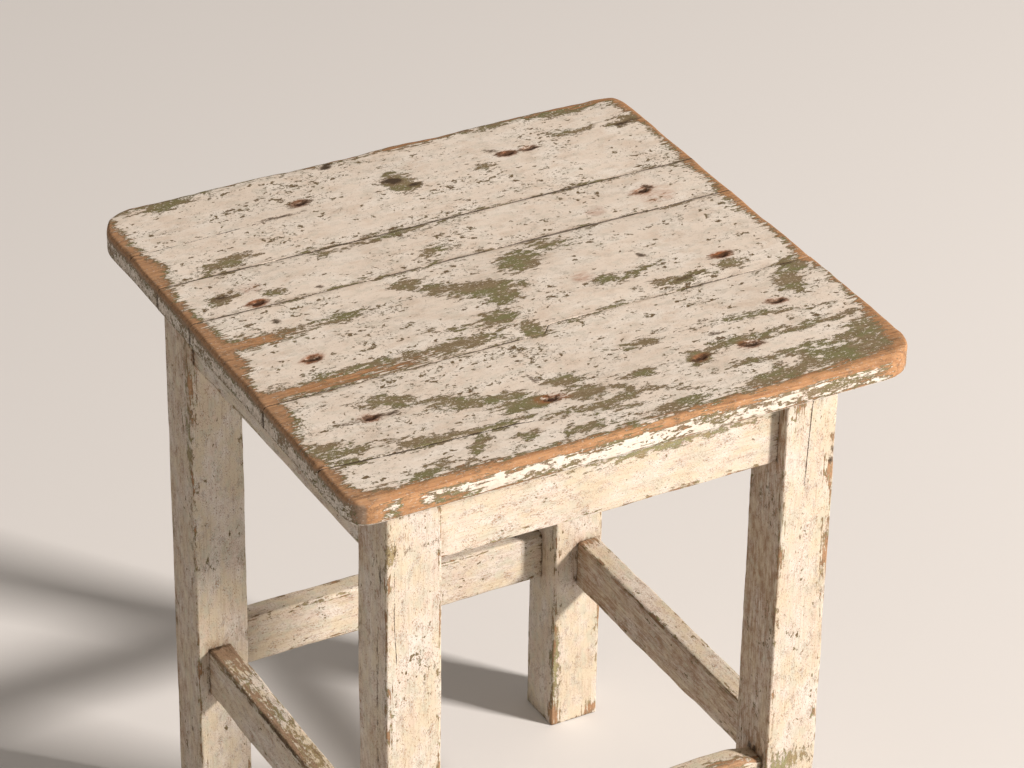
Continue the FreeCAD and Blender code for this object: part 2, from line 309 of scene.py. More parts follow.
def noise(place, along, across, detail=2.0, roughness=0.5, bend=0.0):
    """Soft noise with that many turns to a centimetre along and across the grain. Its middle is 0 and its
    spread about 1."""
    inputs = {
        "Vector": stretched(place, along, across), "Scale": 1.0, "Detail": detail,
        "Roughness": roughness, "Distortion": bend,
    }
    return (Wire.add(place.tree, "ShaderNodeTexNoise", None, inputs) - 0.5) * 15.0


def colour(*rgb):
    """A solid colour, as the sockets take it."""
    return (*rgb, 1.0)


def new_material(name):
    """An empty material, and its tree."""
    material = bpy.data.materials.new(name)
    material.use_nodes = True
    material.node_tree.nodes.clear()
    return material, material.node_tree


def finish_material(tree, inputs):
    """Adds the one shader of a material, with these values or wires, and its output."""
    shader = Wire.add(tree, "ShaderNodeBsdfPrincipled", None, inputs)
    Wire.add(tree, "ShaderNodeOutputMaterial", None, {"Surface": shader})


def mix(share, first, second):
    """Goes from the first colour to the second as share goes from 0 to 1."""
    settings = {"data_type": "RGBA", "blend_type": "MIX", "clamp_factor": True}
    return Wire.add(share.tree, "ShaderNodeMix", settings, {0: share, 6: first, 7: second}, output=2)


# Each paint's colours, and how its coats wear: how ragged their edges are, the limit that a chip has to pass,
# how strong the scuffs, pores, hairlines and brown streaks are, and how wide the undercoat shows beside
# bare wood.
# Each paint's brown also serves as painted shade on faces turned away from the key light.
PAINT = {
    "painted_top": {
        "cream": colour(0.765, 0.690, 0.615), "chalk": colour(0.815, 0.770, 0.715),
        "blush": colour(0.640, 0.535, 0.445), "scuff": colour(0.480, 0.440, 0.380),
        "pore_and_shade": colour(0.300, 0.225, 0.150), "mist": colour(0.620, 0.595, 0.530),
        "olive": colour(0.235, 0.185, 0.110), "leaf": colour(0.185, 0.185, 0.085),
        "ragged": 2.2, "chip_limit": 2.35, "scuffs": 0.30, "pores": 0.30,
        "crazing": 0.22, "streaks": 0.10, "border": 3.0,
    },
    "painted_frame": {
        "cream": colour(0.625, 0.555, 0.430), "chalk": colour(0.690, 0.650, 0.600),
        "blush": colour(0.640, 0.530, 0.455), "scuff": colour(0.420, 0.420, 0.390),
        "pore_and_shade": colour(0.300, 0.170, 0.088), "mist": colour(0.500, 0.515, 0.430),
        "olive": colour(0.370, 0.300, 0.165), "leaf": colour(0.300, 0.300, 0.160),
        "ragged": 1.8, "chip_limit": 3.25, "scuffs": 0.50, "pores": 0.85,
        "crazing": 0.65, "streaks": 0.32, "border": 1.2,
    },
}
PINE_LIGHT = colour(0.500, 0.272, 0.128)
PINE_DARK = colour(0.240, 0.100, 0.038)
PINE_GREY = colour(0.310, 0.230, 0.165)
# The dirt and dust colours also darken the nail pits as painted shade.
DIRT_AND_SHADE = colour(0.045, 0.028, 0.016)
DUST_AND_SHADE = colour(0.140, 0.092, 0.052)
FLECK = colour(0.195, 0.158, 0.092)
RUST = colour(0.330, 0.110, 0.035)
RUST_DARK = colour(0.050, 0.020, 0.011)


def pine(grain, end, grey, fibre):
    """Bare pine. Growth rings are cylinders about a line beside the board, bent a little by noise; each ring
    darkens slowly and stops sharply, so that ends show arcs and faces show long flames."""
    swing = noise(grain, 0.05, 0.25, 3.0) * 0.10 + noise(grain, 0.12, 1.2, 2.0) * 0.03
    parts = Wire.add(grain.tree, "ShaderNodeSeparateXYZ", None, {0: grain})
    across = Wire(grain.tree, parts.socket.node.outputs[1]) + swing
    through = Wire(grain.tree, parts.socket.node.outputs[2]) + 4.0
    rings = ((across * across + through * through).to(0.5) * 2.3 + swing).part()
    late = (rings.to(3.0) * ((1 - rings) * 10.0).clamped()).clamped()
    shade = (late * 0.6 + fibre * 0.12 + end * 0.35 + 0.15).clamped()
    wood = mix(shade, PINE_LIGHT, PINE_DARK)
    return mix(grey, wood, PINE_GREY), late


def grain_noises(grain):
    """The noises that the coats share: long combed streaks, broad clouds, fine specks and so on."""
    return SimpleNamespace(
        ragged=noise(grain, 1.2, 3.0, 7.0, 0.68),
        comb=noise(grain, 0.45, 8.0, 4.0, 0.6),
        cloud=noise(grain, 0.30, 0.60, 3.0, 0.55),
        spot=noise(grain, 2.0, 3.0, 2.0, 0.50, 0.2),
        speck=noise(grain, 4.2, 6.5, 2.0, 0.55, 0.3),
        fine=noise(grain, 8.0, 19.0, 4.0, 0.65),
        smudge=noise(grain, 1.0, 1.9, 6.0, 0.68),
        curl=noise(grain, 1.5, 2.2, 1.5, 0.5, 1.2),
    )


def cream_coat(grain, n, look, stain_and_shade):
    """Cream paint: chalky clouds, a warmer blush, scuffs and a greenish mist, then brown in its streaks,
    stains, painted shade, pores and hairlines. A hairline is where a curled noise passes zero."""
    paint = mix((n.cloud * 0.30 + n.smudge * 0.20 + 0.45).clamped(), look["cream"], look["chalk"])
    blush = ((noise(grain, 0.6, 1.0, 5.0, 0.6) + 0.1) * 0.4).clamped()
    paint = mix(blush * 0.6, paint, look["blush"])
    paint = mix(((n.smudge - 0.9) * 0.9).clamped() * look["scuffs"], paint, look["scuff"])
    mist = ((noise(grain, 0.8, 1.3, 5.0, 0.65) - 0.3) * 0.7).clamped()
    paint = mix(mist * 0.5, paint, look["mist"])
    streak = ((n.comb + n.ragged * 0.4 - 0.3) * 0.5).clamped() * look["streaks"]
    # Brown from stains, and painted shade on faces turned away from the key light.
    browned_and_shaded = (stain_and_shade * (n.comb * 0.24 + n.smudge * 0.28 + 0.9)).clamped()
    paint = mix((streak | browned_and_shaded) * 0.85, paint, look["pore_and_shade"])
    pores = ((n.fine + n.smudge * 0.4 - 0.9) * 1.2).clamped()
    paint = mix(pores * look["pores"], paint, look["pore_and_shade"])
    crazed = ((n.cloud * 0.7 + n.smudge * 0.5 + 0.1) * 1.2).clamped()
    hairline = (1 - abs(n.curl) * 12.0).clamped() * crazed
    return mix(hairline * look["crazing"], paint, look["pore_and_shade"])


def olive_coat(n, look):
    """The undercoat: olive and leaf green in clouds, with dust rubbed in."""
    coat = mix((n.cloud * 0.35 + n.smudge * 0.25 + 0.35).clamped(), look["olive"], look["leaf"])
    return mix(((n.fine + n.ragged) * 0.30 + 0.20).clamped() * 0.6, coat, DUST_AND_SHADE)


def painted_wood(slot):
    """Cream paint over olive paint over pine. Each layer ends where a distance in millimetres, carried by the
    points and made ragged by noise, passes zero: `bare` ends both coats, `olive` ends the cream coat and
    `dark` starts dirt, and painted shade in the nail pits. `crack` is the distance to a split of half width
    `gap`. Small chips come where spotted noise passes a limit that falls as `chips` grows; they show brown
    flecks and dust, not the undercoat.
    `stain_and_shade` browns the paint in streaks, for stains and as painted shade on faces turned away from
    the key light; `rust` reddens it, `end` and `grey` darken and grey the bare wood."""
    look = PAINT[slot]
    material, tree = new_material(slot)
    grain = attribute(tree, "grain", vector=True)
    bare, olive, chips, dark, rust, crack, gap, end, grey, stain_and_shade = (
        attribute(tree, name)
        for name in ("bare", "olive", "chips", "dark", "rust", "crack", "gap", "end", "grey", "stain_and_shade")
    )
    n = grain_noises(grain)

    bare_edge = bare + n.comb * 1.5 + n.ragged * 1.1
    wood_shows = (bare_edge * 2.0 + 0.5).clamped()
    olive_edge = olive + n.ragged * look["ragged"] + n.fine * 0.5
    flaked = (olive_edge * 2.0 + 0.5).clamped()
    near_bare = ((bare_edge + look["border"] + n.spot * 0.8) * 1.6).clamped()
    chip_edge = (n.spot - 0.2 | n.speck) + n.cloud * 0.35 + chips * 0.6 - look["chip_limit"]
    chipped = (chip_edge * 4.0).clamped()
    crumbs = ((n.fine * 0.6 + n.speck * 0.7 - 1.50) * 2.5).clamped() * (1 - wood_shows * 0.7)
    paint_off = (flaked | near_bare | chipped) * (1 - crumbs)
    split = ((gap - abs(crack) + n.fine * 0.10 + n.comb * 0.06) * 4.0 + 0.5).clamped()

    wood, late = pine(grain, end, grey, n.comb)
    wood = mix((n.fine * 0.25 + n.smudge * 0.30 + n.comb * 0.15).clamped() * 0.7, wood, DUST_AND_SHADE)
    under = mix(wood_shows, olive_coat(n, look), wood)
    small = chipped * (1 - flaked) * (1 - near_bare)
    under = mix(small * 0.8, under, FLECK)
    under = mix(small * (chip_edge * 0.9 - 0.3 + n.fine * 0.2).clamped(), under, DUST_AND_SHADE)
    surface = mix(paint_off, cream_coat(grain, n, look, stain_and_shade), under)

    rim = (1 - abs(olive_edge) * 2.2).clamped() * (1 - wood_shows)
    brim = (1 - abs(bare_edge + 0.5) * 0.7).clamped() * paint_off
    surface = mix((rim * 0.6 | brim * 0.55) * 0.75, surface, DUST_AND_SHADE)
    # Dirt, and painted shade in the nail pits: `dark` is first dusted, then blackened where it is deepest.
    dark_edge = dark + n.ragged * 0.7 + n.fine * 0.3
    grime_and_shade = (dark_edge * 0.9 + 0.7).clamped()
    surface = mix(grime_and_shade * 0.75, surface, DUST_AND_SHADE)
    halo = (rust * (1.0 + n.ragged * 0.40 + n.comb * 0.20)).clamped()
    surface = mix(halo, surface, RUST)
    surface = mix((dark_edge * 0.8 - 0.3).clamped() * 0.85, surface, DIRT_AND_SHADE)
    surface = mix(split * 0.9, surface, DIRT_AND_SHADE)

    thickness = (1 - paint_off) * 0.9 + (1 - wood_shows) * 0.5
    relief = (late * 0.5 + n.comb * 0.10) * (wood_shows * 0.8 + 0.2)
    height = thickness + n.fine * 0.06 + n.smudge * 0.08 + relief - split * 0.8 - grime_and_shade * 0.4
    bump = Wire.add(tree, "ShaderNodeBump", None, {"Strength": 1.0, "Distance": 0.00022, "Height": height})
    roughness = paint_off * 0.22 + 0.56 + n.fine * 0.03
    finish_material(tree, {
        "Base Color": surface, "Roughness": roughness, "Normal": bump, "Specular IOR Level": 0.35,
    })
    return material


def rusty_iron(slot):
    """Old nail heads: near-black iron, browned and pitted, with crusts of orange rust."""
    material, tree = new_material(slot)
    place = Wire.add(tree, "ShaderNodeTexCoord", output=3)
    crust = Wire.add(tree, "ShaderNodeTexNoise", None, {"Vector": place, "Scale": 900.0, "Detail": 6.0})
    pits = Wire.add(tree, "ShaderNodeTexVoronoi", None, {"Vector": place, "Scale": 1400.0})
    rusted = ((crust - 0.50) * 4.0).clamped() * 0.35
    skin_colour = mix(rusted, RUST_DARK, RUST)
    skin_colour = mix((1 - pits * 2.0).clamped() * 0.6, skin_colour, DIRT_AND_SHADE)
    relief = crust + pits * 0.5
    bump = Wire.add(tree, "ShaderNodeBump", None, {"Strength": 0.8, "Distance": 0.0003, "Height": relief})
    finish_material(tree, {
        "Base Color": skin_colour, "Roughness": rusted * 0.15 + 0.75, "Metallic": (1 - rusted) * 0.25,
        "Normal": bump,
    })
    return material


MATERIALS = {
    "painted_top": painted_wood("painted_top"),
    "painted_frame": painted_wood("painted_frame"),
    "rusty_iron": rusty_iron("rusty_iron"),
}


# ---------------------------------------------------------------------------------------- top boards

def seam_front(x):
    """Line of the front seam: it steps back to the right, over a short run in the middle."""
    return SEAM_LEFT + (SEAM_RIGHT - SEAM_LEFT) * fade(x, -5.0, 5.0)


def follow(y, nominal, curves):
    """Carries rows that lie at nominal places onto curves, in straight shares between each two."""
    out = curves[0].copy()
    for low, high, before, after in zip(nominal, nominal[1:], curves, curves[1:]):
        out += np.clip((y - low) / (high - low), 0, 1) * (after - before)
    return out


def face_mark(kind, x, half_x, drop, half_drop):
    """A worn place on the top's front face, centred a little below the upper face."""
    return kind, (x, BENCH_LOW[1], BENCH_HIGH[2] - drop), (half_x, 9.0, half_drop), 0.0


def top_mark(kind, x, y, half_x, half_y, turn=0.0):
    """A worn place on the upper face, as an oval with half sizes, turned about the upright."""
    return kind, (x, y, BENCH_HIGH[2]), (half_x, half_y, 8.0), turn


# Worn places on the top, board by board.
TOP_MARKS = [
    # front board: its front face, then long streaks of undercoat, most of them left of the middle
    face_mark("chipped corner", 195, 25, 8, 13),
    face_mark("chipped corner", -191, 10, 10, 14),
    face_mark("chipped corner", -163, 7, 8, 12),
    face_mark("chipped corner", -150, 16, 15, 3),
    face_mark("smear", -140, 15, 11, 4.4),
    face_mark("smear", -66, 20, 12, 2.4),
    face_mark("smear", 50, 16, 8, 2.6),
    face_mark("smear", 120, 30, 9, 3.0),
    top_mark("olive", -188, -134, 14, 3.5, -8),
    top_mark("olive", -178, -143, 26, 2.2, -6),
    top_mark("olive", -186, -155, 12, 2.6, -5),
    top_mark("olive", -145, -186, 13, 4.0, 18),
    top_mark("olive", -130, -154, 15, 5.0, -12),
    top_mark("olive", -98, -158, 34, 2.2, -2),
    top_mark("olive", -128, -103, 15, 6.0, -18),
    top_mark("olive", -106, -176, 11, 3.2, 48),
    top_mark("olive", -90, -123, 16, 5.5, -22),
    top_mark("olive", -70, -131, 24, 5.0, -8),
    top_mark("olive", -56, -144, 18, 7.0, -8),
    top_mark("olive", -70, -177, 7, 3.0, 8),
    top_mark("olive", -38, -184, 13, 3.6, 0),
    top_mark("olive", -22, -129, 10, 5.0, 0),
    top_mark("olive", -16, -148, 15, 6.0, -5),
    top_mark("olive", -12, -164, 28, 4.0, 1),
    top_mark("olive", -6, -173, 16, 2.5, -4),
    top_mark("olive", 8, -154, 14, 1.6, -28),
    top_mark("olive", 28, -186, 18, 4.0, 5),
    top_mark("olive", 24, -145, 9, 2.5, 2),
    top_mark("olive", 43, -112, 9, 3.0, 0),
    top_mark("olive", 102, -138, 20, 3.0, 0),
    top_mark("olive", 145, -141, 22, 1.8, 2),
    top_mark("olive", 124, -115, 18, 1.8, -8),
    top_mark("olive", 122, -163, 27, 2.0, 0),
    top_mark("olive", 152, -167, 24, 2.6, 2),
    top_mark("olive", 132, -173, 9, 4.0, 20),
    top_mark("olive", 108, -184, 32, 6.0, 6),
    top_mark("olive", 160, -183, 36, 10.0, 4),
    top_mark("olive", 180, -162, 17, 12.0, 35),
    top_mark("olive", 169, -88, 8, 13.0, -15),
    top_mark("olive", 184, -71, 12, 9.0, 20),
    top_mark("dark", 106, -147, 8, 2.2, 0),
    top_mark("olive", 67, -144, 9, 8.0, 10),
    top_mark("dark", 64, -146, 5, 3.0, 20),
    top_mark("dark", -145, -115.5, 15, 1.8, -4),
    top_mark("dark", 90, -123, 4, 1.6, -8),
    top_mark("dark", -38, -120, 1.6, 4.5, 0),
    top_mark("dark", 180, -67, 7, 2.0, 0),
    # middle board: one big patch in the middle, and the strip along its stepped edge
    top_mark("bare", -160, -66, 48, 4.6, 0),
    top_mark("bare", -170, -1, 22, 5.0, 0),
    top_mark("olive", -125, -59, 34, 3.4, 0),
    top_mark("olive", -56, -62, 22, 5.5, 0),
    top_mark("olive", -8, -66, 8, 10.0, 0),
    top_mark("olive", -155, 0, 14, 5.0, 0),
    top_mark("olive", -110, 2, 12, 3.5, 0),
    top_mark("olive", -53, 21, 9, 6.0, 0),
    top_mark("olive", -39, 6, 8, 7.0, 0),
    top_mark("olive", -12, -6, 24, 9.0, -14),
    top_mark("olive", -4, -20, 12, 10.0, 0),
    top_mark("olive", -20, -44, 11, 8.0, -20),
    top_mark("olive", -36, -48, 15, 2.0, -16),
    top_mark("olive", 26, 14, 14, 12.0, 30),
    top_mark("olive", 56, 26, 14, 5.0, -15),
    top_mark("olive", 66, -31, 6, 4.0, 0),
    top_mark("olive", 84, -34, 9, 2.0, 20),
    top_mark("olive", 108, -53, 17, 3.5, -3),
    top_mark("olive", 148, -50, 8, 4.5, 0),
    top_mark("dark", 101, -14, 2.0, 6.0, 20),
    top_mark("dark", -147, 17, 2.2, 2.6, 0),
    top_mark("dark", 112, -53, 10, 1.6, -2),
    top_mark("rust", 53, -22, 6, 5.0, 0),
    # narrow board
    top_mark("olive", -166, 57, 9, 4.5, 15),
    top_mark("olive", -131, 49, 5, 4.0, 0),
    top_mark("olive", -80, 82, 10, 2.2, 5),
    top_mark("olive", -32, 86, 20, 2.2, 2),
    top_mark("olive", -18, 53, 9, 5.0, 10),
    top_mark("dark", -165, 59, 7, 2.4, 8),
    top_mark("dark", -103, 44, 2.4, 2.4, 0),
    top_mark("dark", 153, 65, 4, 3.4, 0),
    top_mark("rust", 152, 55, 12, 10.0, 0),
    top_mark("rust", 105, 52, 6, 5.0, 0),
    top_mark("rust", -144, 63, 6, 5.0, 0),
    # back board: one deep chip near the middle, and worn corners
    top_mark("olive", -140, 100, 16, 6.0, 8),
    top_mark("olive", -148, 192, 16, 8.0, 0),
    top_mark("olive", -178, 196, 12, 6.0, 0),
    top_mark("olive", 8, 146, 10, 13.0, 0),
    top_mark("olive", 70, 141, 4, 3.0, 0),
    top_mark("olive", 100, 196, 12, 7.0, 0),
    top_mark("olive", 158, 193, 22, 8.0, 0),
    top_mark("olive", 192, 158, 14, 6.0, 10),
    top_mark("dark", 4, 151, 8, 4.4, -20),
    top_mark("dark", 14, 140, 5, 2.6, 0),
    top_mark("dark", -85, 139.5, 11, 1.6, 0),
    top_mark("dark", 188, 155, 10, 2.6, 12),
    top_mark("olive", 152, 158, 11, 3.0, 0),
    top_mark("dark", 84, 159, 5, 2.0, -25),
    top_mark("dark", -27, 190, 5, 3.0, 30),
]

# Width of the bare strip along each side of the top, at places along that side.
BARE_LEFT = (
    (-200, -185, -178, -165, -150, -138, -125, -110, -100, -85, -66, -55, -45, -30, -12, 0, 12, 35,
     45, 85, 110, 130, 150, 180, 200),
    (19, 12, 5, 7, 6, 2, 1, 4, 8, 12, 14, 5, 4, 10, 13, 17, 12, 12,
     9, 9, 18, 14, 12, 12, 14),
)
BARE_RIGHT = (
    (-200, -185, -170, -150, -135, -120, -100, -80, -66, -50, -35, 0, 35, 45, 85, 100, 150, 190, 200),
    (26, 16, 13, 10, 7, 4, 3, 2, 9, 5, 2, 5, 8, 3, 5, 2, 1, 4, 9),
)
BARE_FRONT = ((-200, -180, -100, 0, 60, 100, 150, 200), (13, 10, 6, 5, 6, 7, 9, 16))
BARE_BACK = ((-200, -150, -100, 0, 50, 100, 150, 200), (8, 3, 2, 5, 7, 3, 7, 10))

BOARDS = {
    "board_back": {"lift": 0.0, "cup": 0.30, "seed": 11},
    "board_narrow": {"lift": -0.30, "cup": 0.12, "seed": 12},
    "board_middle": {"lift": -0.10, "cup": 0.32, "seed": 13},
    "board_front": {"lift": 0.0, "cup": 0.28, "seed": 14},
}
# Cracks that start at the left end: the line that each follows, then where it stops and its half width.
CRACKS = {
    "board_front": (
        (-200, -176, -150, -100, -72, -60, -48, -36),
        (-153, -156, -158, -160, -161, -163, -168, -170),
    ),
    "board_back": ((-200, -160, -120, -80, -40), (134, 134.5, 137, 139.5, 142)),
}
CRACK_ENDS = {"board_front": (-40.0, 0.75), "board_back": (-70.0, 0.30)}
# The left end of the front board has lost a splinter beside its crack.
SPLINTER = {"place": -150.5, "half_width": 2.2, "depth": 2.6}


def board_facts(name, points, upper, lower, rim):
    """What each point of a board carries. `upper` and `lower` are 1 on those faces, and `rim` is 1 on the
    edge faces. Bareness is the width of the bare strip less the distance from the side."""
    x, y, z = points.T
    seed = BOARDS[name]["seed"]
    left, right = x - BENCH_LOW[0], BENCH_HIGH[0] - x
    front, back = y - BENCH_LOW[1], BENCH_HIGH[1] - y
    strips = [
        np.interp(y, *BARE_LEFT) - left, np.interp(y, *BARE_RIGHT) - right,
        np.interp(x, *BARE_FRONT) - front, np.interp(x, *BARE_BACK) - back,
    ]
    bare_top = np.maximum(np.max(strips, axis=0), inside_marks(points, TOP_MARKS, "bare"))
    drop = BENCH_HIGH[2] - z
    rise = z - TOP_UNDER
    at_left = rim * (left < END_BAND)
    weathered = np.where(left < END_BAND, -5.0, -9.0) + 2.6 * ripple(points, 26, seed + 50)
    bare_rim = np.maximum(np.maximum(4.4 - drop, 1.5 - rise) * 1.9, weathered)
    bare_rim = np.maximum(bare_rim, inside_marks(points, TOP_MARKS, "chipped corner") + 1.0)
    bare_under = np.minimum(np.minimum(left, right), np.minimum(front, back)) - 9.0
    bare = rim * bare_rim + upper * bare_top + lower * bare_under

    roughness = 0.55 * fade(-y, 60, 130) * fade(-x, -90, 20)
    base = -6.7 + 1.3 * roughness + 1.0 * ripple(points, 60, seed + 51)
    olive = np.maximum(inside_marks(points, TOP_MARKS, "olive") + 1.0, base)
    smears = np.maximum(-6.5 + 2.6 * ripple(points, 34, seed + 52), inside_marks(points, TOP_MARKS, "smear"))
    olive = np.where(rim > 0.5, smears, olive)
    to_seam = np.min([np.abs(y - line) for line in BACK_SEAMS] + [np.abs(y - seam_front(x))], axis=0)
    seam_wear = -0.8 - to_seam * 0.9 + 1.6 * ripple(points, 34, seed + 53)
    olive = np.maximum(olive, seam_wear * upper + FAR * (1 - upper))

    chips = 0.25 + 0.45 * ripple(points, 55, seed + 54) + 0.25 * fade(-x, -60, 60)
    dark = np.maximum(inside_marks(points, TOP_MARKS, "dark"), (1.6 - to_seam) * rim + FAR * (1 - rim))
    rust = fade(inside_marks(points, TOP_MARKS, "rust"), -4.0, 2.0) * 0.30
    # Over each nail pit a dark oval: dirt, and painted shade inside the pit; round it a halo of rust stain.
    draw = np.random.default_rng(seed + 56)
    for place in ALL_NAILS:
        long, wide = draw.uniform(6.0, 8.0), draw.uniform(2.9, 3.5)
        lean = draw.uniform(-0.25, 0.25)
        along, across = x - place[0], y - place[1] - lean * (x - place[0])
        reach = np.hypot(along / long, across / wide)
        dark = np.maximum(dark, np.where(upper > 0, (1 - reach) * wide + 0.5, FAR))
        halo = fade(np.hypot(along / draw.uniform(1.4, 2.2), across), draw.uniform(5.5, 8.0), 2.0)
        rust = np.maximum(rust, halo * draw.uniform(0.40, 0.95) * upper)
    stain_and_shade = 0.05 + 0.05 * ripple(points, 80, seed + 57) + 0.40 * fade(to_seam, 4.0, 0.3) * upper
    # The left end faces, turned away from the key light, are browned as painted shade.
    stain_and_shade = np.maximum(stain_and_shade, 0.50 * at_left)
    crack = np.full(len(points), 20.0)
    gap = np.full(len(points), -1.0)
    if name in CRACKS:
        crack = np.abs(y - np.interp(x, *CRACKS[name]))
        tip, width = CRACK_ENDS[name]
        gap = width * fade(x, tip + 4, tip - 40) * (0.75 + 0.25 * ripple(points, 12, seed + 55)) * upper
        gap = np.where(x > tip, -1.0, gap)
    seam_width = 0.45 + 0.12 * ripple(points, 30, seed + 58)
    gap = np.where(to_seam < crack, seam_width * upper, gap)
    crack = np.minimum(to_seam, crack)
    grain = np.stack([x, y - seed * 97.0, z - 460.0], axis=1) * 0.1
    end = fade(np.minimum(left, right), 9.0, 7.0) * rim
    grey = 0.10 + 0.70 * np.maximum(lower, at_left) + 0.18 * fade(left, 26.0, 16.0) * upper
    return {
        "grain": grain, "bare": bare, "olive": olive, "chips": chips, "dark": dark, "rust": rust,
        "crack": crack, "gap": gap, "end": end, "grey": grey, "stain_and_shade": stain_and_shade,
    }


def round_corners(x, y, outer_front, outer_back):
    """Rounds the top's corners that this board has, by `soften` seen from above."""
    for (side_x, side_y), radius in CORNER_RADII.items():
        if (side_y < 0 and not outer_front) or (side_y > 0 and not outer_back):
            continue
        to_side = (BENCH_HIGH[0] if side_x > 0 else -BENCH_LOW[0]) - x * side_x
        to_end = (BENCH_HIGH[1] if side_y > 0 else -BENCH_LOW[1]) - y * side_y
        new_side, new_end = soften(to_side, to_end, radius)
        x = x + (to_side - new_side) * side_x
        y = y + (to_end - new_end) * side_y
    return x, y


def make_board(name):
    """A top board: rows run from its front edge to its back edge along the seams and the crack, and its sides
    are rounded by `soften`. Its ends lean by a share of the distance from the pivot line that grows as the
    fourth power of x, and it is cupped by a parabola."""
    (x_low, y_low, z_low), (x_high, y_high, z_high) = box_of(name)
    seed = BOARDS[name]["seed"]
    near = [n for n in ALL_NAILS if y_low < n[1] < y_high]
    crack_row = [CRACKS[name][1][2]] if name in CRACKS else []
    xs = graded(x_low, x_high, BOARD_STEP, 0.5, 5.0, [n[0] for n in near])
    ys = graded(y_low, y_high, BOARD_STEP, 0.35, 4.0, [n[1] for n in near] + crack_row)
    zs = graded(z_low, z_high, 3.0, 0.6, 7.0)
    points, quads = skin(xs, ys, zs)
    x, y, z = points.T

    edge_front = np.full(len(x), y_low)
    edge_back = np.full(len(x), y_high)
    if name == "board_front":
        edge_back = seam_front(x) - SEAM_HALF_GAP
    if name == "board_middle":
        edge_front = seam_front(x) + SEAM_HALF_GAP
    nominal, curves = [y_low, y_high], [edge_front, edge_back]
    if crack_row:
        line = np.interp(x, *CRACKS[name])
        line += (crack_row[0] - line) * fade(x, CRACK_ENDS[name][0] - 10, CRACK_ENDS[name][0] + 90)
        nominal.insert(1, crack_row[0])
        curves.insert(1, line)
    y = follow(y, nominal, curves)

    outer_front, outer_back = name == "board_front", name == "board_back"
    upper_face = z > z_high - 1e-6
    left, right = x - x_low, x_high - x
    front, back = y - edge_front, edge_back - y
    drop, rise = z_high - z, z - z_low
    swell = 1 + 0.13 * ripple(points, 60, seed) + 0.05 * ripple(points, 14, seed + 3)
    left, drop = soften(left, drop, END_ARRIS * swell)
    right, drop = soften(right, drop, END_ARRIS * swell)
    front, drop = soften(front, drop, TOP_ARRIS * swell if outer_front else SEAM_ARRIS)
    back, drop = soften(back, drop, TOP_ARRIS * swell if outer_back else SEAM_ARRIS)
    left, rise = soften(left, rise, UNDER_ARRIS)
    right, rise = soften(right, rise, UNDER_ARRIS)
    front, rise = soften(front, rise, UNDER_ARRIS if outer_front else SEAM_ARRIS)
    back, rise = soften(back, rise, UNDER_ARRIS if outer_back else SEAM_ARRIS)
    x = np.where(x < (x_low + x_high) / 2, x_low + left, x_high - right)
    middle = (edge_front + edge_back) / 2
    y = np.where(y < middle, edge_front + front, edge_back - back)
    z = np.where(z > (z_low + z_high) / 2, z_high - drop, z_low + rise)

    x, y = round_corners(x, y, outer_front, outer_back)
    lean = END_SKEW * (y - SKEW_PIVOT) / (BENCH_HIGH[1] - SKEW_PIVOT)
    x = x + lean * (x / BENCH_HIGH[0]) ** 4
    share = (z - z_low) / (z_high - z_low)
    across = (y - middle) / (edge_back - edge_front) * 2
    z = z + share * (BOARDS[name]["lift"] - BOARDS[name]["cup"] * across**2)
    z = z + share * 0.12 * ripple(np.stack([x, y * 2, z], axis=1), 90, seed + 1)
    for place in near:
        offset = np.hypot((x - place[0]) / PIT_STRETCH, y - place[1])
        z = z - share * PIT_DEPTH * fade(offset, PIT_RADIUS, PIT_FLOOR_RADIUS) * upper_face
    if crack_row:
        tip, width = CRACK_ENDS[name]
        off_line = np.abs(y - np.interp(x, *CRACKS[name]))
        deep = fade(off_line, width * 1.5, 0.1) * fade(x, tip, tip - 40)
        z = z - 1.4 * max(width - 0.35, 0) * deep * upper_face
    ends = np.stack([np.sign(x) * 40, y * 1.5, np.zeros_like(y)], axis=1)
    x = x * (1 + 0.0010 * ripple(ends, 70, seed + 2))
    if name == "board_front":
        notch = fade(np.abs(y - SPLINTER["place"]), SPLINTER["half_width"], 0.2)
        x = x + SPLINTER["depth"] * notch * fade(x, x_low + 9, x_low)
    points = np.stack([x, y, z], axis=1)

    upper = fade(z, z_high - 3.4, z_high - 1.6)
    lower = fade(z, z_low + 2.0, z_low + 0.8)
    rim = 1 - upper - lower
    facts = board_facts(name, points, upper, lower, rim)
    make_piece(name, points, quads, "painted_top", facts)


for board_name in BOARDS:
    make_board(board_name)


# ---------------------------------------------------------------------------------------- legs and bars

def mark(kind, x, y, z, half_x, half_y, half_z):
    """A worn place on the frame, as an egg shape with half sizes along the axes."""
    return kind, (x, y, z), (half_x, half_y, half_z), 0.0


